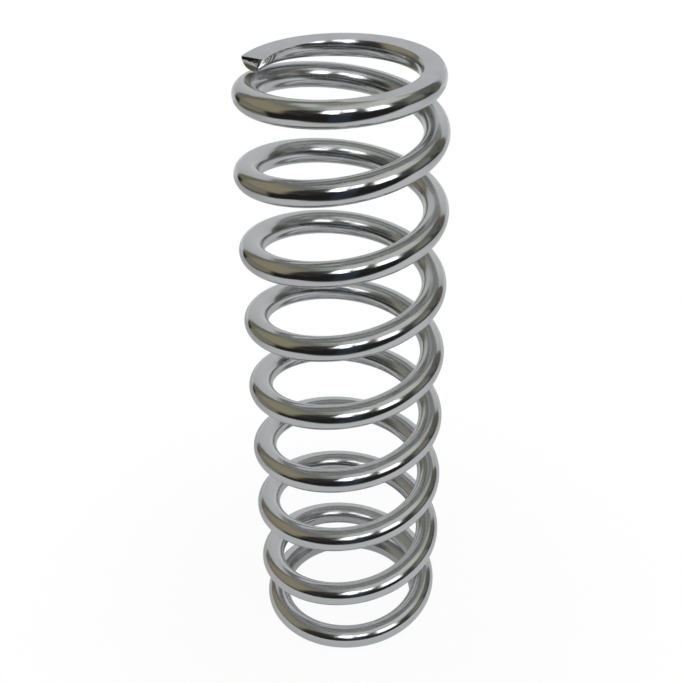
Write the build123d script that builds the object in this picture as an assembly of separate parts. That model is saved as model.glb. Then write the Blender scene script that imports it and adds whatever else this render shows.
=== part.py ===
from build123d import *
from math import cos, pi, radians, sin, tan
import os

# Coilover suspension spring: one round steel bar wound into a compression coil.
#
# The bar is wound right-handed. At each end its last turn closes down onto the one before and
# its last quarter turn is bent out a little, the tip is sheared off on a slant, and the end is
# ground flat and square to the axis, so that the spring stands on either end. The turns between
# are a little wider than the end turns, which fit over a perch. Both ends are alike: half a turn
# about a level axis swaps them.
#
# Frame: millimetres, +Z up the spring's axis, origin on that axis in the lower ground face.
# Turns are counted along the bar: 0 at the lower tip and total_turns at the upper tip.

# Bar and coil
wire_diameter = 11.0
end_bore_diameter = 63.5  # inside the end turns, for a 2.5 inch perch
body_swell = 2.75  # what the coil's mean radius gains between the ends
swell_turns = 2.1  # turns from a tip to the coil's full width
free_length = 290.0
total_turns = 9.485
upper_tip_angle = 165.5  # degrees about the axis, from +X towards +Y

# Closed ends
closed_turns = 0.46  # turns from a tip to where the bar leaves the closed slope
rise_turns = 0.78  # turns over which it takes up the body's pitch
tip_gap = 0.3  # between a tip and the turn beside it
tip_kick = 2.2  # how far a tip is bent out, along the axis
kick_turns = 0.24  # turns from a tip over which it is bent

# Ground and sheared tips
tip_thickness = 5.6  # what grinding leaves of the bar at a tip
shear_angle = 15.0  # degrees, how far the cut is off square, its inner side further on
shear_trim = 0.9  # the least that the cut takes off the bar's end, at its inner side

# Fineness of the centre line
points_per_turn = 24

wire_radius = wire_diameter / 2
end_radius = end_bore_diameter / 2 + wire_radius
tip_height = tip_thickness - wire_radius  # of the bar's centre at the lower tip


def blend(share):
    """Goes smoothly from 0 to 1 with share, and is level at both."""
    share = min(max(share, 0.0), 1.0)
    return share**2 * (3 - 2 * share)


def rise_area(turns):
    """Area, in turns, under the blend from the closed slope to the body's."""
    share = max(turns - closed_turns, 0.0) / rise_turns
    if share > 1:
        return rise_turns * (share - 0.5)
    return rise_turns * (share**3 - share**4 / 2)


# Slopes, in mm a turn, without the bent tips: the first turn clears its own tip, and the bar
# spans the free length
closing_rise = wire_diameter + tip_gap - tip_kick
bar_rise = free_length - 2 * tip_height - 2 * tip_kick
first_area = rise_area(1)
body_area = 2 * rise_area(total_turns) - total_turns
extra_slope = (bar_rise - closing_rise * total_turns) / (body_area - first_area * total_turns)
closed_slope = closing_rise - extra_slope * first_area


def height_at(turns):
    """Height of the bar's centre above the lower ground face."""
    upper_area = rise_area(total_turns) - rise_area(total_turns - turns)
    area = rise_area(turns) + upper_area - turns
    kicks = 1 + blend(turns / kick_turns) - blend((total_turns - turns) / kick_turns)
    return tip_height + closed_slope * turns + extra_slope * area + tip_kick * kicks


def radius_at(turns):
    """Distance of the bar's centre from the axis."""
    from_tip = min(turns, total_turns - turns)
    return end_radius + body_swell * blend(from_tip / swell_turns)


def outward_at(turns):
    """Level unit vector from the axis to the bar."""
    angle = radians(upper_tip_angle) - 2 * pi * (total_turns - turns)
    return Vector(cos(angle), sin(angle), 0)


def centre_at(turns):
    """Point on the bar's centre line."""
    return outward_at(turns) * radius_at(turns) + Vector(0, 0, height_at(turns))


def along_at(turns):
    """Unit vector along the bar, up the spring."""
    step = 1 / 1000
    return (centre_at(turns + step) - centre_at(turns - step)).normalized()


def coiled_bar():
    """The whole bar, a round section swept up its centre line from tip to tip."""
    spans = round(total_turns * points_per_turn)
    points = [centre_at(total_turns * index / spans) for index in range(spans + 1)]
    tangents = along_at(0), along_at(total_turns)
    centre_line = Spline(*points, tangents=tangents, tangent_scalars=(1, 1))
    section = Plane(origin=centre_at(0), z_dir=along_at(0)) * Circle(wire_radius)
    return sweep(section, path=centre_line, is_frenet=True)


def shear_waste():
    """What a slanted cut takes off the upper tip.

    The waste is kept between the cut and the end of the bar, and clear of the turn below,
    which the tip all but touches.
    """
    outward = outward_at(total_turns)
    along = along_at(total_turns)
    tip = centre_at(total_turns)
    slope = tan(radians(shear_angle))
    margin = tip_gap / 2
    below = wire_radius + margin
    above = wire_diameter
    width = 2 * wire_diameter
    on_end = (Align.CENTER, Align.CENTER, Align.MIN)

    end = Plane(origin=tip, x_dir=outward, z_dir=-along)
    depth = wire_diameter * slope + shear_trim + wire_radius
    block = Box(width, below + above, depth + margin, align=on_end)
    block = end * Pos(0, (above - below) / 2, -margin) * block
    cut_start = tip - outward * wire_radius - along * shear_trim
    cut = Plane(origin=cut_start, z_dir=along + outward * slope)
    beyond = cut * Box(4 * width, 4 * width, width, align=on_end)
    return block & beyond


def coil_spring():
    """The finished spring: the bar with both tips sheared and both ends ground."""
    waste = shear_waste()
    swap_ends = Axis((0, 0, free_length / 2), outward_at(total_turns / 2))
    bar = coiled_bar() - waste - waste.rotate(swap_ends, 180)
    reach = 2 * (end_radius + body_swell + wire_diameter)
    ground = Box(reach, reach, free_length, align=(Align.CENTER, Align.CENTER, Align.MIN))
    return bar & ground


if __name__ == "__main__":
    os.makedirs("parts", exist_ok=True)
    spring = coil_spring()
    export_step(spring, "parts/coil_spring.step")
    print("body pitch", closed_slope + extra_slope, "closed slope", closed_slope)
    print("solids", len(spring.solids()), "faces", len(spring.faces()), "volume", spring.volume)
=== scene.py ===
"""Looks of the coilover spring: one chromed bar, wound, ground at both ends and sheared at both
tips, standing on a pale sheet of paper that sweeps up behind it.

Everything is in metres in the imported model's frame: +Z up the spring's axis, the origin on that
axis in the lower ground face. Turns are counted along the bar from its lower tip.
"""

import logging
import math
from collections.abc import Callable, Mapping
from dataclasses import dataclass
from enum import Enum

import bpy
import numpy as np
from mathutils import Matrix, Vector


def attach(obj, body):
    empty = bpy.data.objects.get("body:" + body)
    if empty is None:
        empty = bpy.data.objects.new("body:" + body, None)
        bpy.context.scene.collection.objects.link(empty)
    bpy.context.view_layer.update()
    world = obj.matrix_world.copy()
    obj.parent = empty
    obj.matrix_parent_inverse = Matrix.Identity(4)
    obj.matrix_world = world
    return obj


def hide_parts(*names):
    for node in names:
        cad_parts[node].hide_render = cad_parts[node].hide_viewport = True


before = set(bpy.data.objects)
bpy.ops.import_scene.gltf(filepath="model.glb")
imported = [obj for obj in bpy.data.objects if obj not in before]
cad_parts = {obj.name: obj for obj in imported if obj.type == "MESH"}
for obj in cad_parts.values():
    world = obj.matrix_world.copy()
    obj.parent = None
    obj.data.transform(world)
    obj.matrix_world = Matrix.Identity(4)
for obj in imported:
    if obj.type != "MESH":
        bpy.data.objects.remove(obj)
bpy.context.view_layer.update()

log = logging.getLogger("coilover_spring")

MM = 0.001
PHOTO_SIDE = 683  # pixels across the photograph
SENSOR_WIDTH = 36.0  # mm, the camera's
BAR_MAP = "bar"  # the UV map in metres, along and round the bar
TURN_MAP = "turn"  # the attribute with the place along the bar
INWARD_MAP = "inward"  # the attribute with how far the bar's skin faces the spring's axis, -1 to 1

SAME_WAY = 0.999  # cosine over which two directions count as one
SAME_LEVEL = 0.99999  # and over which a face counts as level

Colour = tuple[float, float, float]
WHITE: Colour = (1.0, 1.0, 1.0)


class Finish(Enum):
    """Which of the bar's finishes a face has; the value is its material slot."""

    PLATE = 0
    GROUND = 1
    SHEARED = 2


class End(Enum):
    """One end of the spring; the value is the way out of it along Z."""

    LOWER = -1
    UPPER = 1


class Signal:
    """A node's output, with its maths written in Python's operators."""

    def __init__(self, board: "Board", socket: bpy.types.NodeSocket) -> None:
        """Wraps one output socket of the board."""
        self.board = board
        self.socket = socket

    def __add__(self, other: "Signal | float") -> "Signal":
        """The sum of the two."""
        return self.board.maths("ADD", self, other)

    __radd__ = __add__

    def __sub__(self, other: "Signal | float") -> "Signal":
        """This less the other."""
        return self.board.maths("SUBTRACT", self, other)

    def __rsub__(self, other: float) -> "Signal":
        """The other less this."""
        return self.board.maths("SUBTRACT", other, self)

    def __mul__(self, other: "Signal | float") -> "Signal":
        """The product of the two."""
        return self.board.maths("MULTIPLY", self, other)

    __rmul__ = __mul__


class Board:
    """The node tree of one material or world, filled from Python."""

    def __init__(self, tree: bpy.types.NodeTree) -> None:
        """Takes the tree and empties it."""
        self.tree = tree
        tree.nodes.clear()

    def add(
        self,
        kind: str,
        settings: Mapping[str, object] | None = None,
        sockets: Mapping[str | int, object] | None = None,
        output: str | int = 0,
    ) -> Signal:
        """Adds a node.

        Args:
            kind: The node's type.
            settings: The node's own properties, set before its sockets.
            sockets: A value or a Signal for each input named or numbered.
            output: The name or number of the output that is wanted.

        Returns:
            The wanted output, or the node's first one.
        """
        node = self.tree.nodes.new(kind)
        for name, value in (settings or {}).items():
            setattr(node, name, value)
        for name, value in (sockets or {}).items():
            if isinstance(value, Signal):
                self.tree.links.new(value.socket, node.inputs[name])
            else:
                node.inputs[name].default_value = value
        return Signal(self, node.outputs[output]) if len(node.outputs) else Signal(self, None)

    def maths(self, operation: str, *values: "Signal | float") -> Signal:
        """A Math node on up to three values or links."""
        return self.add("ShaderNodeMath", {"operation": operation}, dict(enumerate(values)))

    def ease(self, value: Signal, low: float, high: float) -> Signal:
        """A smooth step from 0, where the value is low, to 1, where it is high."""
        sockets = {"Value": value, "From Min": low, "From Max": high}
        return self.add("ShaderNodeMapRange", {"interpolation_type": "SMOOTHSTEP"}, sockets)

    def mix(self, share: Signal | float, first: object, second: object) -> Signal:
        """The first colour, or the second where the share is 1."""
        settings = {"data_type": "RGBA"}
        return self.add("ShaderNodeMix", settings, {0: share, 6: first, 7: second}, output=2)

    def noise(self, place: Signal, scale: float, detail: float = 2.0) -> Signal:
        """Noise about 0.5, with so many patches to the metre or to the unit of place."""
        sockets = {"Vector": place, "Scale": scale, "Detail": detail}
        return self.add("ShaderNodeTexNoise", {}, sockets)

    def parts(self, vector: Signal) -> tuple[Signal, ...]:
        """The X, Y and Z of a vector."""
        split = self.add("ShaderNodeSeparateXYZ", {}, {0: vector}).socket.node
        return tuple(Signal(self, socket) for socket in split.outputs)

    def join(self, x: object, y: object, z: object) -> Signal:
        """A vector from its three parts."""
        return self.add("ShaderNodeCombineXYZ", {}, {0: x, 1: y, 2: z})

    def show(self, shader: Signal, output: str = "ShaderNodeOutputMaterial") -> None:
        """Links the shader to the tree's output."""
        self.add(output, {}, {"Surface": shader})


def blend(share: np.ndarray) -> np.ndarray:
    """Goes smoothly from 0 to 1 with the share, and is level at both."""
    held = np.clip(share, 0.0, 1.0)
    return held**2 * (3 - 2 * held)


def column(
    items: bpy.types.bpy_prop_collection, name: str, width: int = 1, kind: type = float
) -> np.ndarray:
    """Reads one property of all the items of a mesh.

    Args:
        items: The mesh's vertices, faces or corners, or the values of an attribute.
        name: The property.
        width: How many numbers each item has.
        kind: What the numbers are read as.

    Returns:
        A row of numbers for each item, or one number where the width is 1.
    """
    numbers = np.empty(len(items) * width, kind)
    items.foreach_get(name, numbers)
    return numbers.reshape(-1, width) if width > 1 else numbers


def opaque(colour: Colour) -> tuple[float, float, float, float]:
    """The colour with an alpha of 1, as sockets take it."""
    return (*colour, 1.0)


def new_material(name: str) -> tuple[bpy.types.Material, Board]:
    """Makes an empty material.

    Args:
        name: The material's name.

    Returns:
        The material and the board for its nodes.
    """
    material = bpy.data.materials.new(name)
    material.use_nodes = True
    return material, Board(material.node_tree)


@dataclass(frozen=True)
class ChromePlate:
    """Bright chrome over a drawn bar: mirror-like, and hazier towards the spring's axis.

    It reads the bar's map, in metres along and round the bar, and its "turn" and "inward"
    attributes.
    """

    line: "BarLine"
    name: str = "chrome_plate"
    colour: Colour = (0.64, 0.65, 0.66)
    speck_colour: Colour = (0.30, 0.30, 0.29)
    speck_spacing: float = 2.6 * MM
    speck_reach: tuple[float, float] = (0.015, 0.05)  # spacings from a speck's middle to its rim
    roughness: float = 0.125
    worn_gain: float = 0.025  # how much rougher the worn patches are
    worn_range: tuple[float, float] = (0.4, 0.7)  # of the noise that places them
    worn_detail: float = 6.0
    inner_gain: float = 0.055  # how much rougher the skin is that faces the axis
    inner_reach: tuple[float, float] = (-0.2, 0.6)  # of the inward attribute, where that comes in
    line_width: float = 0.30 * MM
    line_stretch: float = 40.0  # how many times longer a drawn line is than it is wide
    line_detail: float = 3.0
    line_depth: float = 0.00003 * MM
    ripple_spacing: float = 8.0 * MM
    ripple_detail: float = 1.0
    ripple_depth: float = 0.0005 * MM
    streak_width: float = 2.6 * MM  # the blade's marks across the bar, beside the tip
    streak_stretch: float = 2.2  # how many times longer a mark is than it is wide
    streak_lean: float = 0.9  # how far a mark runs along the bar for its depth below the end
    streak_depth: float = 0.50 * MM
    streak_end: tuple[float, float] = (0.035, 0.070)  # turns from the tip
    wave_width: float = 1.0 * MM  # waves along the ground face's edge, near the tip
    wave_stretch: float = 8.0
    wave_detail: float = 1.0
    wave_depth: float = 0.40 * MM
    wave_end: tuple[float, float] = (0.09, 0.14)
    wave_reach: tuple[float, float] = (0.6 * MM, 2.4 * MM)  # from the ground face's plane
    mark_start: tuple[float, float] = (0.014, 0.020)  # turns from the tip, for both

    def material(self) -> bpy.types.Material:
        """Wires the plate's nodes.

        Returns:
            The material.
        """
        material, board = new_material(self.name)
        place = board.add("ShaderNodeTexCoord", {}, {}, output="Object")
        wear = board.noise(place, 1 / self.ripple_spacing, self.worn_detail)
        worn = board.ease(wear, *self.worn_range)
        spread = {"Vector": place, "Scale": 1 / self.speck_spacing}
        cells = board.add("ShaderNodeTexVoronoi", {}, spread)
        speck = 1 - board.ease(cells, *self.speck_reach)
        inward = board.add("ShaderNodeAttribute", {"attribute_name": INWARD_MAP}, {}, output="Fac")
        haze = board.ease(inward, *self.inner_reach) * self.inner_gain
        height = self.drawn_relief(board, place) + self.tip_relief(board, place)
        sockets = {
            "Base Color": board.mix(speck, opaque(self.colour), opaque(self.speck_colour)),
            "Metallic": 1.0,
            "Roughness": worn * self.worn_gain + haze + self.roughness,
            "Normal": board.add("ShaderNodeBump", {}, {"Height": height, "Distance": 1.0}),
        }
        board.show(board.add("ShaderNodeBsdfPrincipled", {}, sockets))
        return material

    def bar_place(self, board: Board) -> tuple[Signal, Signal, Signal]:
        """Finds where in the bar a point lies, from the bar's map.

        Args:
            board: The plate's nodes.

        Returns:
            How far along the bar it is, and how far across it, to the side and up, in metres.
        """
        spot = board.add("ShaderNodeUVMap", {"uv_map": BAR_MAP})
        along, round_bar, _ = board.parts(spot)
        angle = round_bar * (1 / self.line.wire_radius)
        side = board.maths("COSINE", angle) * self.line.wire_radius
        top = board.maths("SINE", angle) * self.line.wire_radius
        return along, side, top

    def drawn_relief(self, board: Board, place: Signal) -> Signal:
        """Works out the relief of the fine drawn lines and of the plate's slow ripples.

        Args:
            board: The plate's nodes.
            place: The point on the spring.

        Returns:
            Its height in metres.
        """
        along, side, top = self.bar_place(board)
        drawn = board.join(side, top, along * (1 / self.line_stretch))
        lines = board.noise(drawn, 1 / self.line_width, self.line_detail)
        ripples = board.noise(place, 1 / self.ripple_spacing, self.ripple_detail)
        return lines * self.line_depth + ripples * self.ripple_depth

    def tip_relief(self, board: Board, place: Signal) -> Signal:
        """Works out the relief of the blade's marks and of the waves along the ground edge.

        Args:
            board: The plate's nodes.
            place: The point on the spring.

        Returns:
            Its height in metres, which is 0 away from the tips.
        """
        along, side, top = self.bar_place(board)
        turn = board.add("ShaderNodeAttribute", {"attribute_name": TURN_MAP}, {}, output="Fac")
        end_turn = 2 * math.pi * self.line.end_radius
        from_tip = board.maths("MINIMUM", turn, self.line.total_turns - turn)
        _, _, up = board.parts(place)
        from_ground = board.maths("MINIMUM", up, self.line.free_length - up)

        leaning = from_tip * end_turn + from_ground * self.streak_lean
        shrink = 1 / self.streak_stretch
        marked = board.join(leaning, from_ground * shrink, side * shrink)
        streaks = board.noise(marked, 1 / self.streak_width, detail=0.0)
        by_blade = 1 - board.ease(from_tip, *self.streak_end)
        waved = board.join(side, top, along * (1 / self.wave_stretch))
        waves = board.noise(waved, 1 / self.wave_width, self.wave_detail)
        by_edge = 1 - board.ease(from_ground, *self.wave_reach)
        by_edge = by_edge * (1 - board.ease(from_tip, *self.wave_end))
        relief = streaks * by_blade * self.streak_depth + waves * by_edge * self.wave_depth
        return relief * board.ease(from_tip, *self.mark_start)


@dataclass(frozen=True)
class GroundFace:
    """The plated end faces: satin, with the fine arcs that the grinding wheel leaves."""

    colour: Colour = (0.655, 0.66, 0.69)
    shade: Colour = (0.60, 0.61, 0.635)
    shade_scale: float = 90.0  # shaded patches to the metre
    shade_detail: float = 3.0
    shade_range: tuple[float, float] = (0.35, 0.7)  # of the noise that places them
    roughness: float = 0.30
    mark_spacing: float = 0.45 * MM
    mark_stretch: float = 30.0  # how many times longer a mark is than it is wide
    mark_detail: float = 3.0
    mark_depth: float = 0.004 * MM
    mark_gloss: float = 0.12  # how far the roughness goes up and down with the marks
    wheel_place: tuple[float, float] = (-0.16, 0.11)  # where the marks' centre lies

    def material(self) -> bpy.types.Material:
        """Wires the ground faces' nodes.

        Returns:
            The material.
        """
        material, board = new_material("ground_face")
        place = board.add("ShaderNodeTexCoord", {}, {}, output="Object")
        x, y, _ = board.parts(place)
        across, up = x - self.wheel_place[0], y - self.wheel_place[1]
        reach = board.maths("SQRT", across * across + up * up)
        turn = board.maths("ARCTAN2", up, across) * math.hypot(*self.wheel_place)
        arcs = board.join(reach, turn * (1 / self.mark_stretch), 0.0)
        marks = board.noise(arcs, 1 / self.mark_spacing, self.mark_detail)
        cloud = board.noise(place, self.shade_scale, self.shade_detail)
        shaded = board.ease(cloud, *self.shade_range)
        smoothest = self.roughness - self.mark_gloss / 2
        sockets = {
            "Base Color": board.mix(shaded, opaque(self.colour), opaque(self.shade)),
            "Metallic": 1.0,
            "Roughness": board.maths("MULTIPLY_ADD", marks, self.mark_gloss, smoothest),
            "Normal": board.add(
                "ShaderNodeBump", {}, {"Height": marks * self.mark_depth, "Distance": 1.0}
            ),
        }
        board.show(board.add("ShaderNodeBsdfPrincipled", {}, sockets))
        return material


@dataclass(frozen=True)
class ShearedFace:
    """The tips' torn steel, plated over: dark and coarse, with a paler ledge torn across it."""

    line: "BarLine"
    black: Colour = (0.045, 0.045, 0.04)
    dark: Colour = (0.31, 0.30, 0.265)
    pale: Colour = (0.72, 0.71, 0.67)
    roughness: float = 0.34
    black_reach: tuple[float, float] = (0.6 * MM, 1.6 * MM)  # from the ground face's plane
    black_slope: float = 0.2  # how much nearer to it the black ends towards the axis
    ledge_depth: float = 2.65 * MM  # from that plane, in the middle of the bar
    ledge_slope: float = 0.16  # how much deeper it gets towards the axis
    ledge_width: tuple[float, float] = (0.5 * MM, 1.1 * MM)  # half of it, at its crest and foot
    ledge_end: tuple[float, float] = (-2.6 * MM, -0.9 * MM)  # across the bar, where it runs out
    ledge_height: float = 0.8 * MM
    ledge_waver: float = 2.6 * MM
    ledge_sheen: float = 0.75  # how much of the ledge is too coarse to mirror
    foot_sheen: float = 0.48  # and how much of the face below it
    tear_spacing: float = 2.2 * MM
    tear_depth: float = 0.32 * MM
    grain_spacing: float = 0.5 * MM
    grain_detail: float = 4.0
    grain_depth: float = 0.16 * MM

    def material(self) -> bpy.types.Material:
        """Wires the sheared faces' nodes.

        Returns:
            The material.
        """
        material, board = new_material("sheared_face")
        place = board.add("ShaderNodeTexCoord", {}, {}, output="Object")
        x, y, up = board.parts(place)
        from_ground = board.maths("MINIMUM", up, self.line.free_length - up)
        outward = board.maths("SQRT", x * x + y * y) - self.line.end_radius
        tears = board.noise(place, 1 / self.tear_spacing)
        grain = board.noise(place, 1 / self.grain_spacing, self.grain_detail)
        waver = (tears - 0.5) * self.ledge_waver
        below = from_ground + outward * self.ledge_slope + waver - self.ledge_depth
        ledge = 1 - board.ease(board.maths("ABSOLUTE", below), *self.ledge_width)
        ledge = ledge * board.ease(outward, *self.ledge_end)
        step = board.ease(below, -self.ledge_width[1], self.ledge_width[1])
        black_depth = from_ground - outward * self.black_slope + waver
        under_black = board.ease(black_depth, *self.black_reach)
        steel = board.mix(under_black, opaque(self.black), opaque(self.dark))
        rough = grain * self.grain_depth + tears * self.tear_depth
        height = step * self.ledge_height + rough
        coarse = board.maths("MAXIMUM", ledge * self.ledge_sheen, step * self.foot_sheen)
        sockets = {
            "Base Color": board.mix(ledge, steel, opaque(self.pale)),
            "Metallic": 1 - coarse,
            "Roughness": self.roughness,
            "Normal": board.add("ShaderNodeBump", {}, {"Height": height, "Distance": 1.0}),
        }
        board.show(board.add("ShaderNodeBsdfPrincipled", {}, sockets))
        return material


@dataclass(frozen=True)
class BarLine:
    """The bar's centre line, as in the part's source: closed at both ends, wider between them."""

    wire_diameter: float = 11.0 * MM
    end_bore_diameter: float = 63.5 * MM
    body_swell: float = 2.75 * MM
    swell_turns: float = 2.1
    free_length: float = 290.0 * MM
    total_turns: float = 9.485
    upper_tip_angle: float = 165.5
    closed_turns: float = 0.46
    rise_turns: float = 0.78
    tip_gap: float = 0.05 * MM
    tip_kick: float = 2.2 * MM  # how far the tips are bent out
    kick_turns: float = 0.24
    tip_thickness: float = 5.6 * MM
    probe: float = 0.001  # turns to each side, where the bar's direction is measured

    @property
    def wire_radius(self) -> float:
        """Half the bar's thickness."""
        return self.wire_diameter / 2

    @property
    def end_radius(self) -> float:
        """From the axis to the bar's centre at the tips."""
        return self.end_bore_diameter / 2 + self.wire_radius

    @property
    def tip_height(self) -> float:
        """From the lower ground face to the bar's centre at the lower tip."""
        return self.tip_thickness - self.wire_radius

    def end_height(self, end: End) -> float:
        """How high an end's ground face lies."""
        return self.free_length if end is End.UPPER else 0.0

    def rise_area(self, turns: np.ndarray) -> np.ndarray:
        """Works out the area, in turns, under the blend from the closed slope to the body's.

        Args:
            turns: Places along the bar.

        Returns:
            The area from the lower tip to each of them.
        """
        share = np.maximum(turns - self.closed_turns, 0.0) / self.rise_turns
        blended = share**3 - share**4 / 2
        return self.rise_turns * np.where(share > 1, share - 0.5, blended)

    def slopes(self) -> tuple[float, float]:
        """Works out how the bar has to rise, besides its bent tips, to reach the free length.

        Returns:
            The rise of the closed turns in metres a turn, and how much more the body's is.
        """
        closing_rise = self.wire_diameter + self.tip_gap - self.tip_kick
        bar_rise = self.free_length - 2 * self.tip_height - 2 * self.tip_kick
        first_area = float(self.rise_area(np.array(1.0)))
        body_area = 2 * float(self.rise_area(np.array(self.total_turns))) - self.total_turns
        missing = bar_rise - closing_rise * self.total_turns
        extra = missing / (body_area - first_area * self.total_turns)
        return closing_rise - extra * first_area, extra

    def centres(self, turns: np.ndarray) -> np.ndarray:
        """Points on the centre line.

        Args:
            turns: Places along the bar.

        Returns:
            One row of X, Y and Z for each place.
        """
        closed_slope, extra_slope = self.slopes()
        total = np.array(self.total_turns)
        from_tip = np.minimum(turns, total - turns)
        radius = self.end_radius + self.body_swell * blend(from_tip / self.swell_turns)
        area = self.rise_area(turns) + self.rise_area(total) - self.rise_area(total - turns) - turns
        kicks = 1 + blend(turns / self.kick_turns) - blend((total - turns) / self.kick_turns)
        height = self.tip_height + closed_slope * turns + extra_slope * area + self.tip_kick * kicks
        angle = math.radians(self.upper_tip_angle) - 2 * math.pi * (total - turns)
        return np.stack([radius * np.cos(angle), radius * np.sin(angle), height], axis=-1)

    def along(self, turns: np.ndarray) -> np.ndarray:
        """Unit vectors along the bar, up the spring."""
        way = self.centres(turns + self.probe) - self.centres(turns - self.probe)
        return way / np.linalg.norm(way, axis=-1, keepdims=True)

    def outward(self, turns: np.ndarray) -> np.ndarray:
        """Level unit vectors from the axis to the bar."""
        level = self.centres(turns) * np.array([1.0, 1.0, 0.0])
        return level / np.linalg.norm(level, axis=-1, keepdims=True)


@dataclass(frozen=True)
class CoilSpring:
    """The spring: a round bar laid along its line, sheared at its tips and ground at its ends."""

    line: BarLine
    rings_per_turn: int = 128
    tip_rings: int = 40  # over the last tip_turns at each end
    tip_turns: float = 0.08
    bevel_steps: int = 28  # the bar has four more sides than twice this
    shear_angle: float = 15.0  # degrees, the cut's lean, its inner side further on
    shear_trim: float = 0.9 * MM
    roll_radius: float = 3.1 * MM  # the tip's inner corner, rolled over by the blade
    roll_leans: tuple[float, ...] = (12.0, 24.0, 36.0, 48.0, 60.0, 72.0)  # degrees, its planes
    roll_droop: float = 16.0  # degrees, how far under the bar the rolled corner lies
    roll_twist: float = 0.40  # how many degrees further under for each degree of lean
    roll_hollow: float = 0.62  # how much the rolled corner's shine tips up, as a hollow's does
    roll_rise: float = 0.70  # how much more it does so at the ground face than a bar's radius below
    roll_start: float = 0.6  # the share of both where the corner leaves the sheared face
    roll_turn: float = 0.25  # 1 less the cosine of the turn from that face to where the share is 1
    fuse: float = 0.001 * MM  # vertices nearer than this to a cut count as in it
    inset: float = 0.004 * MM  # how far the bar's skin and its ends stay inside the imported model's
    level_slack: float = 0.01 * MM  # how near to an end's height a ground face lies
    cut_reach: float = 3.0  # bar radii from a tip's middle, within which its faces are cut
    face_reach: float = 2.0  # and within which they count as the tip's
    crease_angle: float = 24.0  # degrees, where two faces meet in a sharp edge
    name: str = "chromed_coil_spring"

    def build(self) -> bpy.types.Object:
        """Makes the spring and dresses it.

        Returns:
            The finished piece, placed by its mesh.
        """
        coil = self.wind()
        for end in End:
            self.shear(coil, end)
        for end in End:
            self.grind(coil, end)
        self.dress(coil)
        self.smooth(coil)
        return coil

    def ring_turns(self) -> np.ndarray:
        """Spaces the bar's rings, closer together at the tips.

        Returns:
            Their places along the bar, from the lower tip.
        """
        total = self.line.total_turns
        tip = np.linspace(0.0, self.tip_turns, self.tip_rings, endpoint=False)
        spans = round((total - 2 * self.tip_turns) * self.rings_per_turn)
        body = np.linspace(self.tip_turns, total - self.tip_turns, spans + 1)
        return np.concatenate([tip, body, total - tip[::-1]])

    def wind(self) -> bpy.types.Object:
        """Lays a round bar along the centre line and makes it a mesh.

        Returns:
            The bar, open at both tips, with its map in metres and its places in turns.
        """
        turns = self.ring_turns()
        centres = self.line.centres(turns)
        bpy.ops.object.select_all(action="DESELECT")
        bpy.ops.curve.primitive_nurbs_path_add()
        curve = bpy.context.object.data
        curve.splines.clear()
        spline = curve.splines.new("POLY")
        spline.points.add(len(turns) - 1)
        for point, centre in zip(spline.points, centres):
            point.co = (*centre, 1.0)
        curve.twist_mode = "Z_UP"
        curve.bevel_depth = self.line.wire_radius - self.inset
        curve.bevel_resolution = self.bevel_steps
        curve.use_fill_caps = False
        bpy.ops.object.convert(target="MESH")
        coil = bpy.context.object
        coil.name = coil.data.name = self.name
        self.chart(coil.data, turns, centres)
        return coil

    def chart(self, mesh: bpy.types.Mesh, turns: np.ndarray, centres: np.ndarray) -> None:
        """Gives the bar's mesh its places in turns and its map in metres.

        Args:
            mesh: The bar, with its rings in order from the lower tip.
            turns: Places along the bar of its rings.
            centres: Their centres, one a row.
        """
        around = len(mesh.vertices) // len(turns)
        turn_of = mesh.attributes.new(TURN_MAP, "FLOAT", "POINT")
        turn_of.data.foreach_set("value", np.repeat(turns, around).astype(np.float32))
        steps = np.linalg.norm(np.diff(centres, axis=0), axis=1)
        lengths = np.concatenate([[0.0], np.cumsum(steps)])
        corner_vertices = column(mesh.loops, "vertex_index", kind=np.int32)
        bar_map = mesh.uv_layers[0]
        bar_map.name = BAR_MAP
        spots = column(bar_map.data, "uv", 2, np.float32)
        spots[:, 0] = lengths[corner_vertices // around]
        spots[:, 1] *= math.pi * self.line.wire_diameter
        bar_map.data.foreach_set("uv", spots.ravel())

    def select(self, coil: bpy.types.Object, chosen: Callable[[np.ndarray], np.ndarray]) -> None:
        """Selects the faces whose centres are chosen, and nothing else.

        Args:
            coil: The spring.
            chosen: Takes the face centres, one a row, and gives a truth value for each.
        """
        mesh = coil.data
        picked = chosen(column(mesh.polygons, "center", 3))
        mesh.vertices.foreach_set("select", np.zeros(len(mesh.vertices), bool))
        mesh.edges.foreach_set("select", np.zeros(len(mesh.edges), bool))
        mesh.polygons.foreach_set("select", picked)
        bpy.context.tool_settings.mesh_select_mode = (False, False, True)

    def cut(
        self,
        coil: bpy.types.Object,
        place: np.ndarray,
        way: np.ndarray,
        chosen: Callable[[np.ndarray], np.ndarray],
    ) -> None:
        """Cuts the chosen faces at a plane, takes off what lies past it and closes the cut.

        Args:
            coil: The spring.
            place: A point of the plane.
            way: The way across the plane, towards what is taken off.
            chosen: Picks faces by their centres.
        """
        self.select(coil, chosen)
        bpy.ops.object.mode_set(mode="EDIT")
        bpy.ops.mesh.bisect(
            plane_co=tuple(place),
            plane_no=tuple(way),
            use_fill=True,
            clear_outer=True,
            threshold=self.fuse,
        )
        bpy.ops.object.mode_set(mode="OBJECT")

    def tip_axes(self, end: End) -> tuple[np.ndarray, np.ndarray, np.ndarray]:
        """Where a tip is and how it lies.

        Args:
            end: The lower or the upper tip.

        Returns:
            The bar's centre at the tip, the unit vector out of the bar there, and the level one
            from the spring's axis to it.
        """
        turns = np.array(self.line.total_turns if end is End.UPPER else 0.0)
        out_of_bar = end.value * self.line.along(turns)
        return self.line.centres(turns), out_of_bar, self.line.outward(turns)

    def by_tip(self, spots: np.ndarray, end: End) -> np.ndarray:
        """Which of the spots, one a row, lie close round a tip."""
        away = np.linalg.norm(spots - self.tip_axes(end)[0], axis=1)
        return away < self.face_reach * self.line.wire_radius

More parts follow.
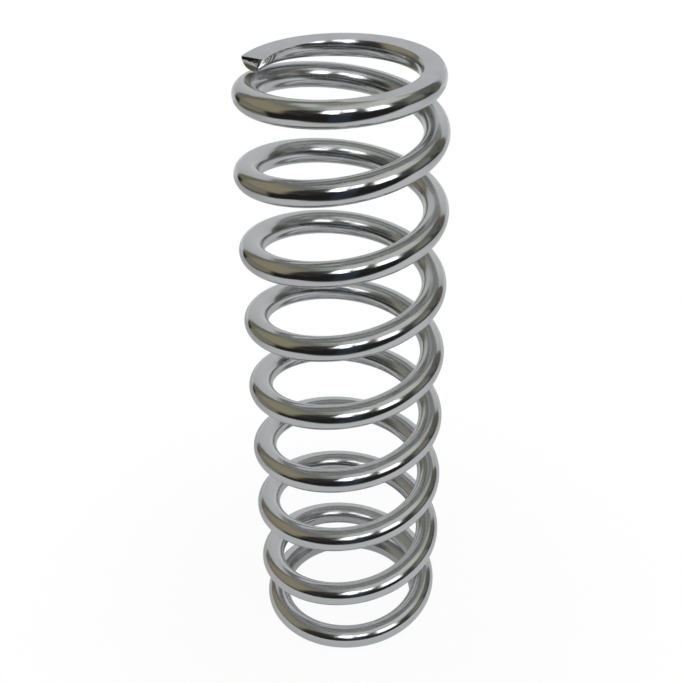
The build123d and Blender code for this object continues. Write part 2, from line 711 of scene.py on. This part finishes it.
    def face_way(self, end: End) -> np.ndarray:
        """Finds the way that a sheared face looks.

        Args:
            end: Which tip.

        Returns:
            A unit vector, out of the bar.
        """
        _, along, outward = self.tip_axes(end)
        way = along + outward * math.tan(math.radians(self.shear_angle))
        return way / np.linalg.norm(way)

    def shear(self, coil: bpy.types.Object, end: End) -> None:
        """Shears a tip off on a slant, and rolls its inner corner over as the blade does.

        Args:
            coil: The spring.
            end: Which tip.
        """
        tip, along, outward = self.tip_axes(end)
        radius = self.line.wire_radius
        reach = radius + self.line.tip_gap / 2
        turns = np.linspace(0.0, self.tip_turns, self.tip_rings)
        beside = self.line.centres(self.line.total_turns - turns if end is End.UPPER else turns)

        def on_tip(centres: np.ndarray) -> np.ndarray:
            """Tells which faces lie on the bar's last stretch.

            Args:
                centres: Their centres, one a row.

            Returns:
                A truth value for each.
            """
            near = np.linalg.norm(centres - tip, axis=1) < self.cut_reach * radius
            gaps = np.full(len(centres), np.inf)
            apart = centres[near][:, None] - beside[None]
            gaps[near] = np.linalg.norm(apart, axis=2).min(axis=1)
            return gaps < reach

        face_way = self.face_way(end)
        start = tip - outward * radius - along * self.shear_trim
        self.cut(coil, start, face_way, on_tip)

        under = np.array([0.0, 0.0, -end.value])
        for lean in self.roll_leans:
            droop = math.radians(self.roll_droop + self.roll_twist * lean)
            side_way = -outward * math.cos(droop) + under * math.sin(droop)
            side = tip + side_way * radius
            corner = side + along * float((start - side) @ face_way / (along @ face_way))
            share, rest = math.cos(math.radians(lean)), math.sin(math.radians(lean))
            way = face_way * share + side_way * rest
            way /= np.linalg.norm(way)
            bite = self.roll_radius * (share + rest - 1)
            self.cut(coil, corner - way * bite, way, on_tip)

    def grind(self, coil: bpy.types.Object, end: End) -> None:
        """Grinds an end flat and square to the axis.

        Args:
            coil: The spring.
            end: Which end.
        """
        plane = np.array([0.0, 0.0, self.line.end_height(end) - end.value * self.inset])
        way = np.array([0.0, 0.0, float(end.value)])
        self.cut(coil, plane, way, lambda centres: np.ones(len(centres), bool))

    def dress(self, coil: bpy.types.Object) -> None:
        """Gives each face its finish, by the way it faces.

        Args:
            coil: The spring, sheared and ground.
        """
        mesh = coil.data
        mesh.materials.clear()
        for finish in (ChromePlate(self.line), GroundFace(), ShearedFace(self.line)):
            mesh.materials.append(finish.material())
        centres, normals = (column(mesh.polygons, name, 3) for name in ("center", "normal"))
        slots = np.full(len(centres), Finish.PLATE.value, np.int32)
        for end in End:
            level = np.abs(centres[:, 2] - self.line.end_height(end)) < self.level_slack
            slots[level & (normals[:, 2] * end.value > SAME_WAY)] = Finish.GROUND.value
            on_cut = self.by_tip(centres, end) & (normals @ self.face_way(end) > SAME_WAY)
            slots[on_cut] = Finish.SHEARED.value
        mesh.polygons.foreach_set("material_index", slots)
        ground, sheared = ((slots == one.value).sum() for one in (Finish.GROUND, Finish.SHEARED))
        log.info("faces: %d, of which ground %d, sheared %d", len(slots), ground, sheared)

    def skin_ways(self, mesh: bpy.types.Mesh, spots: np.ndarray) -> np.ndarray:
        """Finds the way from the bar's line to each vertex, and keeps how far it faces the axis.

        Args:
            mesh: The spring's mesh, with its places in turns. It gets the inward attribute.
            spots: Its vertices, one a row.

        Returns:
            A unit vector across the bar for each vertex.
        """
        turns = column(mesh.attributes[TURN_MAP].data, "value")
        across = spots - self.line.centres(turns)
        along = self.line.along(turns)
        across -= along * (across * along).sum(axis=1, keepdims=True)
        across /= np.maximum(np.linalg.norm(across, axis=1, keepdims=True), self.fuse)
        inward = -(across * self.line.outward(turns)).sum(axis=1)
        kept = mesh.attributes.new(INWARD_MAP, "FLOAT", "POINT")
        kept.data.foreach_set("value", inward.astype(np.float32))
        return across

    def tipped_up(self, facing: np.ndarray, spots: np.ndarray, end: End) -> np.ndarray:
        """How much the shine of a tip's rolled corner tips up, by its facing and its place.

        Args:
            facing: The ways that its faces look along, one a row.
            spots: Where on them, one a row.
            end: Which tip.

        Returns:
            What to add to the third part of each normal.
        """
        tip, _, _ = self.tip_axes(end)
        below = (tip[2] - spots[:, 2]) * end.value / self.line.wire_radius
        turned = blend((1 - facing @ self.face_way(end)) / self.roll_turn)
        share = self.roll_start + (1 - self.roll_start) * turned
        return end.value * share * (self.roll_hollow + self.roll_rise * (1 - below))

    def smooth(self, coil: bpy.types.Object) -> None:
        """Shades the bar as the true round that it is, with its ground faces flat.

        Args:
            coil: The spring, cut and dressed.
        """
        bpy.ops.object.shade_smooth_by_angle(angle=math.radians(self.crease_angle))
        mesh = coil.data
        spots = column(mesh.vertices, "co", 3)
        across = self.skin_ways(mesh, spots)
        face_sizes = column(mesh.polygons, "loop_total", kind=np.int32)
        corner_faces = np.repeat(np.arange(len(face_sizes)), face_sizes)
        corner_vertices = column(mesh.loops, "vertex_index", kind=np.int32)
        facing = column(mesh.polygons, "normal", 3)[corner_faces]
        round_way = across[corner_vertices]
        nearly_same = math.cos(math.radians(self.crease_angle / 2))
        on_round = (facing * round_way).sum(axis=1) > nearly_same
        level = np.abs(facing[:, 2]) > SAME_LEVEL
        ready = column(mesh.corner_normals, "vector", 3)
        ways = np.where(on_round[:, None], round_way, ready)
        ways = np.where(level[:, None], facing, ways)
        corner_spots = spots[corner_vertices]
        for end in End:
            off_cut = facing @ self.face_way(end) < SAME_WAY
            rolled = self.by_tip(corner_spots, end) & ~on_round & ~level & off_cut
            ways[rolled, 2] += self.tipped_up(facing[rolled], corner_spots[rolled], end)
        ways /= np.linalg.norm(ways, axis=1, keepdims=True)
        mesh.normals_split_custom_set(ways.tolist())


@dataclass(frozen=True)
class WallPanel:
    """A plain part of the room round the sweep, by the directions in which it lies.

    Azimuths are in degrees from the camera's side of the spring, and grow towards +X.
    """

    light: Colour
    left: float
    right: float
    low: float
    high: float
    soft: float = 4.0  # degrees over which its edges fade


@dataclass(frozen=True)
class SoftBox:
    """An upright lamp with a plain face, by the directions that it spans from the spring.

    They are in degrees, as a wall panel's are. The distance is in metres.
    """

    name: str
    left: float
    right: float
    low: float
    high: float
    strength: float = 2.4
    distance: float = 2.0

    def hang(self, target: Vector) -> bpy.types.Object:
        """Adds the lamp.

        Args:
            target: The point that the directions start from.

        Returns:
            The lamp.
        """
        azimuth = math.radians(self.left + self.right) / 2
        half_span = math.radians(self.right - self.left) / 2
        foot = self.distance * math.tan(math.radians(self.low))
        head = self.distance * math.tan(math.radians(self.high))
        bpy.ops.object.light_add(type="AREA")
        lamp = bpy.context.object
        lamp.name = self.name
        lamp.data.shape = "RECTANGLE"
        lamp.data.size = 2 * self.distance * math.tan(half_span)
        lamp.data.size_y = head - foot
        lamp.data.energy = self.strength * lamp.data.size * lamp.data.size_y * math.pi
        way = Vector((math.sin(azimuth), -math.cos(azimuth), 0.0))
        lamp.location = target + way * self.distance + Vector((0.0, 0.0, (foot + head) / 2))
        lamp.rotation_euler = way.to_track_quat("Z", "Y").to_euler()
        return lamp


@dataclass(frozen=True)
class Studio:
    """The paper sweep, the room that the plate reflects, and the soft lamps."""

    paper: Colour = (0.75, 0.76, 0.78)
    sweep_paper: Colour = (0.93, 0.94, 0.955)
    front_glow: Colour = (0.625, 0.635, 0.645)  # the lit paper's levels, as the plate shows them
    right_glow: Colour = (0.69, 0.705, 0.73)
    back_glow: Colour = (0.36, 0.365, 0.37)
    right_reach: tuple[float, float] = (0.0, 0.30)  # along X, where the right side's level comes in
    back_reach: tuple[float, float] = (-0.06, 0.14)  # and along Y, where the back's does
    right_keep: float = 0.55  # how much of the right side's level lasts to the back
    glow_share: float = 0.5  # of the paper in the plate, which thins the spring's own shadow there
    sheet_left: float = -0.50
    sheet_right: float = 2.2
    sweep_right: float = 1.25
    left_flare: float = 0.27  # how far the sheet's left edge runs outwards over its length
    front_fade: tuple[float, float] = (-0.36, -0.20)  # where the sheet's front is lost to the plate
    front_slant: float = 0.22  # how much further forward that is for each metre to a side
    bend_start: float = 0.65  # along Y, where the paper starts to rise
    bend_radius: float = 0.30
    bend_steps: int = 24
    bend_strip: float = 1.0 * MM  # how much flat paper leads into the bend
    sweep_top: float = 1.05
    shade_strip_height: float = 0.15  # a black strip standing along the sheet's right side: painted shade for the dark gap where the sheet ends
    shade_strip_span: tuple[float, float] = (-1.25, 0.90)
    # the painted shade strip's colour: near black, for the gap's shadow beside the sheet
    shade_strip_colour: Colour = (0.01, 0.01, 0.01)
    floor_size: float = 8.0
    floor_drop: float = 0.05 * MM
    near_white: float = 0.95  # how much of the floor's look to the camera is plain white
    white_reach: tuple[float, float] = (0.06, 0.22)  # from the axis, where it goes on to all of it
    room: Colour = (0.018, 0.017, 0.015)
    panels: tuple[WallPanel, ...] = (
        WallPanel((0.25, 0.25, 0.245), 118.0, 200.0, 20.0, 64.0, 4.0),
        WallPanel((0.21, 0.21, 0.185), -200.0, -50.0, 40.0, 64.0, 8.0),
        WallPanel((0.32, 0.29, 0.20), -156.0, -66.0, 5.0, 46.0, 16.0),
        WallPanel((0.253, 0.234, 0.175), -156.0, -84.0, -60.0, 5.0, 10.0),
        WallPanel((0.19, 0.175, 0.135), -160.0, -128.0, -30.0, 42.0, 8.0),
        WallPanel((0.12, 0.105, 0.085), -128.0, -84.0, -22.0, -13.0, 5.0),
        WallPanel((0.012, 0.011, 0.010), -140.0, -128.0, -12.0, 0.5, 4.0),
        WallPanel((0.055, 0.052, 0.048), -60.0, -30.0, 34.0, 50.0, 8.0),
        WallPanel((0.032, 0.028, 0.024), -60.0, -30.0, 12.0, 34.0, 6.0),
        WallPanel((0.065, 0.042, 0.032), -63.0, -50.0, 14.0, 25.0, 5.0),
        WallPanel((0.050, 0.054, 0.062), -48.0, -41.0, 9.0, 16.0, 3.0),
        WallPanel((0.055, 0.053, 0.048), 56.0, 71.0, 3.0, 40.0, 6.0),
        WallPanel((0.15, 0.148, 0.135), 71.0, 80.0, -4.0, 40.0, 6.0),
        WallPanel((0.20, 0.20, 0.155), 80.0, 98.0, 6.0, 44.0, 6.0),
        WallPanel((0.25, 0.235, 0.205), 75.0, 96.0, 10.0, 24.0, 6.0),
        WallPanel((0.20, 0.20, 0.18), 56.0, 76.0, 37.0, 46.0, 5.0),
        WallPanel((0.13, 0.125, 0.105), 78.0, 98.0, -10.0, 8.0, 4.0),
        WallPanel((0.15, 0.15, 0.125), 98.0, 118.0, -30.0, 44.0, 5.0),
        WallPanel((0.06, 0.058, 0.052), 97.0, 102.0, -4.0, 22.0, 3.0),
        WallPanel((0.035, 0.035, 0.042), 102.0, 110.5, -3.0, 8.0, 2.0),
        WallPanel((0.055, 0.055, 0.05), 111.5, 114.5, 4.0, 23.0, 2.0),
        WallPanel((0.14, 0.125, 0.11), 117.0, 132.0, -30.0, 44.0, 5.0),
        WallPanel((0.48, 0.48, 0.44), 60.0, 138.0, 44.0, 62.0, 8.0),
        WallPanel((0.65, 0.66, 0.60), 57.0, 100.0, 45.0, 60.0, 6.0),
        WallPanel((0.03, 0.04, 0.055), -12.0, 11.0, -40.0, 14.0, 6.0),
        WallPanel((0.038, 0.05, 0.068), -5.0, 11.0, 6.0, 28.0, 5.0),
        WallPanel((0.36, 0.40, 0.34), -60.0, -28.0, 52.0, 64.0, 6.0),
        WallPanel((0.40, 0.40, 0.37), -200.0, -112.0, 57.0, 68.0, 6.0),
        WallPanel((0.31, 0.31, 0.285), -200.0, 200.0, 61.0, 100.0, 6.0),
        WallPanel((0.45, 0.47, 0.43), -130.0, -30.0, 66.0, 100.0, 8.0),
        WallPanel((0.68, 0.68, 0.63), -34.0, 122.0, 59.0, 76.0, 8.0),
        WallPanel((0.54, 0.54, 0.51), -34.0, 130.0, 74.0, 100.0, 6.0),
        WallPanel((0.56, 0.64, 0.56), -150.0, -129.0, 56.0, 69.0, 3.0),
        WallPanel((0.68, 0.78, 0.69), -122.0, -99.0, 64.0, 76.0, 3.0),
        WallPanel((0.82, 0.82, 0.80), -24.0, 58.0, 45.0, 57.0, 4.0),
        WallPanel((0.85, 0.85, 0.85), -24.5, -14.0, 30.0, 54.0, 5.0),
        WallPanel((0.85, 0.85, 0.85), -14.0, -2.5, 24.5, 54.0, 5.0),
        WallPanel((0.75, 0.75, 0.75), 0.5, 16.0, 32.0, 54.0, 4.0),
        WallPanel((0.12, 0.12, 0.12), -3.5, 0.5, 27.0, 37.0, 3.0),
        WallPanel((0.03, 0.03, 0.03), 17.5, 25.5, 20.0, 53.0, 4.0),
        WallPanel((0.50, 0.50, 0.49), 52.0, 58.5, 35.0, 47.0, 4.0),
        WallPanel((0.85, 0.85, 0.85), 27.0, 54.5, 21.5, 47.0, 4.0),
    )
    lamps: tuple[SoftBox, ...] = (
        SoftBox("outer_left_soft_box", -22.5, -14.0, 33.0, 50.0),
        SoftBox("inner_left_soft_box", -14.0, -3.8, 27.0, 50.0),
        SoftBox("middle_soft_box", 1.2, 14.0, 35.5, 50.0),
        SoftBox("right_soft_box", 29.0, 52.0, 24.5, 43.5),
    )
    top_size: float = 1.2
    top_place: tuple[float, float, float] = (0.24, -0.20, 1.7)
    top_strength: float = 2.42
    lamp_target: tuple[float, float, float] = (0.0, 0.0, 0.15)

    def build(self) -> None:
        """Lays the floor and the sweep, and lights them."""
        self.lay_floor()
        self.raise_sweep()
        self.raise_shade_strip()
        for lamp in self.lamps:
            lamp.hang(Vector(self.lamp_target))
        self.hang_top_light()
        self.paint_room()
        bpy.context.scene.view_settings.view_transform = "Standard"

    def lay_floor(self) -> bpy.types.Object:
        """Lays the floor, which is white to the camera and ends with the paper in the plate.

        Returns:
            The floor.
        """
        bpy.ops.object.select_all(action="DESELECT")
        middle = self.bend_start - self.floor_size / 2
        place = (0.0, middle, -self.floor_drop)
        bpy.ops.mesh.primitive_plane_add(size=self.floor_size, location=place)
        floor = bpy.context.object
        floor.name = "studio_floor"
        bpy.ops.object.transform_apply(location=True, rotation=False, scale=False)
        floor.data.materials.append(self.floor_material())
        return floor

    def floor_material(self) -> bpy.types.Material:
        """Makes paper that the camera sees as white, and the plate only where the sheet lies.

        Returns:
            The floor's material.
        """
        material, board = new_material("floor_paper")
        place = board.add("ShaderNodeTexCoord", {}, {}, output="Object")
        x, y, _ = board.parts(place)
        camera = board.add("ShaderNodeLightPath", {}, {}, output="Is Camera Ray")
        glossy = board.add("ShaderNodeLightPath", {}, {}, output="Is Glossy Ray")
        paper = board.add("ShaderNodeBsdfDiffuse", {}, {"Color": opaque(self.paper)})
        glow = board.add("ShaderNodeEmission", {}, {"Color": self.plate_level(board, x, y)})
        evening = {0: glossy * self.glow_share, 1: paper, 2: glow}
        evened = board.add("ShaderNodeMixShader", {}, evening)
        room = board.add("ShaderNodeBsdfTransparent")
        beyond = glossy * (1 - self.on_sheet(board, x, y))
        laid = board.add("ShaderNodeMixShader", {}, {0: beyond, 1: evened, 2: room})
        white = board.add("ShaderNodeEmission", {}, {"Color": opaque(WHITE)})
        far = board.ease(board.maths("SQRT", x * x + y * y), *self.white_reach)
        share = board.maths("MULTIPLY_ADD", far, 1 - self.near_white, self.near_white)
        board.show(board.add("ShaderNodeMixShader", {}, {0: camera * share, 1: laid, 2: white}))
        return material

    def on_sheet(self, board: Board, x: Signal, y: Signal) -> Signal:
        """Tells the paper sheet from the floor round it.

        Args:
            board: The floor's nodes.
            x: The place on the floor along X.
            y: And along Y.

        Returns:
            1 on the sheet and 0 off it.
        """
        right_of_left = board.maths("GREATER_THAN", x + y * self.left_flare, self.sheet_left)
        left_of_right = board.maths("LESS_THAN", x, self.sheet_right)
        slanted = y + board.maths("ABSOLUTE", x) * self.front_slant
        return left_of_right * right_of_left * board.ease(slanted, *self.front_fade)

    def plate_level(self, board: Board, x: Signal, y: Signal) -> Signal:
        """Works out the lit paper's level, brighter on the right and darker at the back.

        Args:
            board: The floor's nodes.
            x: The place on the floor along X.
            y: And along Y.

        Returns:
            The level, as a colour.
        """
        right = board.ease(x, *self.right_reach)
        back = board.ease(y, *self.back_reach) * (1 - right * self.right_keep)
        level = board.mix(right, opaque(self.front_glow), opaque(self.right_glow))
        return board.mix(back, level, opaque(self.back_glow))

    def raise_sweep(self) -> bpy.types.Object:
        """Raises the paper behind the spring, where it only lights it and shows in the plate.

        Returns:
            The sweep.
        """
        left = self.sheet_left - self.left_flare * (self.bend_start + self.bend_radius)
        width = self.sweep_right - left
        middle = (left + self.sweep_right) / 2
        bpy.ops.object.select_all(action="DESELECT")
        bpy.ops.mesh.primitive_plane_add(size=1.0)
        sweep = bpy.context.object
        sweep.name = "paper_sweep"
        sweep.scale = (width, self.bend_strip, 1.0)
        sweep.location = (middle, self.bend_start, 0.0)
        bpy.ops.object.transform_apply(location=True, rotation=True, scale=True)
        for vertex in sweep.data.vertices:
            vertex.select = vertex.co.y > self.bend_start
        for edge in sweep.data.edges:
            edge.select = all(sweep.data.vertices[i].select for i in edge.vertices)
        for face in sweep.data.polygons:
            face.select = False
        bpy.context.tool_settings.mesh_select_mode = (False, True, False)
        bpy.ops.object.mode_set(mode="EDIT")
        bpy.ops.mesh.spin(
            steps=self.bend_steps,
            angle=-math.pi / 2,
            center=(middle, self.bend_start + self.bend_strip / 2, self.bend_radius),
            axis=(1.0, 0.0, 0.0),
        )
        rise = self.sweep_top - self.bend_radius
        bpy.ops.mesh.extrude_region_move(TRANSFORM_OT_translate={"value": (0.0, 0.0, rise)})
        bpy.ops.object.mode_set(mode="OBJECT")
        bpy.ops.object.shade_smooth()
        sweep.visible_camera = False
        material, board = new_material("sweep_paper")
        board.show(board.add("ShaderNodeBsdfDiffuse", {}, {"Color": opaque(self.sweep_paper)}))
        sweep.data.materials.append(material)
        return sweep

    def raise_shade_strip(self) -> bpy.types.Object:
        """Stands a black strip along the sheet's right side, which only shows in the plate: painted
        shade for the dark gap where the sheet ends.

        Returns:
            The strip.
        """
        front, back = self.shade_strip_span
        bpy.ops.object.select_all(action="DESELECT")
        bpy.ops.mesh.primitive_plane_add(size=1.0, rotation=(0.0, math.pi / 2, 0.0))
        shade_strip = bpy.context.object
        shade_strip.name = "painted_shade_strip"
        shade_strip.scale = (self.shade_strip_height, back - front, 1.0)
        shade_strip.location = (self.sheet_right, (front + back) / 2, self.shade_strip_height / 2)
        bpy.ops.object.transform_apply(location=True, rotation=True, scale=True)
        shade_strip.visible_camera = shade_strip.visible_diffuse = shade_strip.visible_shadow = False
        # painted shade: a black sheet that stands in for the shadow in the gap at the sheet's right
        # edge
        material, board = new_material("painted_shade")
        board.show(board.add("ShaderNodeBsdfDiffuse", {}, {"Color": opaque(self.shade_strip_colour)}))
        shade_strip.data.materials.append(material)
        return shade_strip

    def hang_top_light(self) -> None:
        """Hangs a broad soft lamp overhead, which the plate doesn't mirror."""
        bpy.ops.object.light_add(type="AREA", location=self.top_place)
        lamp = bpy.context.object
        lamp.name = "top_light"
        lamp.data.size = self.top_size
        lamp.data.energy = self.top_strength * self.top_size**2 * math.pi
        lamp.visible_glossy = False

    def paint_room(self) -> None:
        """Makes the world white to the camera, and the room's plain walls to all else."""
        world = bpy.data.worlds.new("studio_room")
        world.use_nodes = True
        bpy.context.scene.world = world
        board = Board(world.node_tree)
        way = board.add("ShaderNodeTexCoord", {}, {}, output="Generated")
        x, y, z = board.parts(way)
        azimuth = board.maths("ARCTAN2", x, 0.0 - y) * math.degrees(1.0)
        elevation = board.maths("ARCSINE", z) * math.degrees(1.0)
        light: object = opaque(self.room)
        for panel in self.panels:
            reach = panel.soft / 2
            share = board.ease(azimuth, panel.left - reach, panel.left + reach)
            share = share * (1 - board.ease(azimuth, panel.right - reach, panel.right + reach))
            share = share * board.ease(elevation, panel.low - reach, panel.low + reach)
            share = share * (1 - board.ease(elevation, panel.high - reach, panel.high + reach))
            light = board.mix(share, light, opaque(panel.light))
        camera = board.add("ShaderNodeLightPath", {}, {}, output="Is Camera Ray")
        seen = board.mix(camera, light, opaque(WHITE))
        board.show(board.add("ShaderNodeBackground", {}, {"Color": seen}), "ShaderNodeOutputWorld")


@dataclass(frozen=True)
class PhotoCamera:
    """The camera where the photograph was taken from, with its turns in radians."""

    distance: float = 0.43921  # in front of the spring's axis
    height: float = 0.44269
    pitch: float = 0.57310  # down from level
    yaw: float = 0.00387
    roll: float = -0.02112
    focal_pixels: float = 1133.66

    def place(self) -> bpy.types.Object:
        """Adds the camera and makes it the scene's.

        Returns:
            The camera.
        """
        level_right = Vector((math.cos(self.yaw), math.sin(self.yaw), 0.0))
        level_ahead = Vector((-math.sin(self.yaw), math.cos(self.yaw), 0.0))
        up = Vector((0.0, 0.0, 1.0))
        ahead = level_ahead * math.cos(self.pitch) - up * math.sin(self.pitch)
        over = level_ahead * math.sin(self.pitch) + up * math.cos(self.pitch)
        right = level_right * math.cos(self.roll) + over * math.sin(self.roll)
        top = over * math.cos(self.roll) - level_right * math.sin(self.roll)
        turn = Matrix((right, top, -ahead)).transposed().to_4x4()
        bpy.ops.object.camera_add()
        camera = bpy.context.object
        camera.name = "photo_camera"
        camera.matrix_world = Matrix.Translation((0.0, -self.distance, self.height)) @ turn
        camera.data.sensor_width = SENSOR_WIDTH
        camera.data.lens = self.focal_pixels * SENSOR_WIDTH / PHOTO_SIDE
        bpy.context.scene.camera = camera
        return camera


def main() -> None:
    """Builds the spring and its studio, and sets the camera."""
    coil = CoilSpring(BarLine()).build()
    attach(coil, "root")
    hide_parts("coil_spring")
    triangles = sum(len(face.vertices) - 2 for face in coil.data.polygons)
    log.info("%s: %d triangles", coil.name, triangles)
    Studio().build()
    PhotoCamera().place()


if __name__ == "__main__":
    logging.basicConfig(level=logging.INFO, format="%(message)s")
    main()
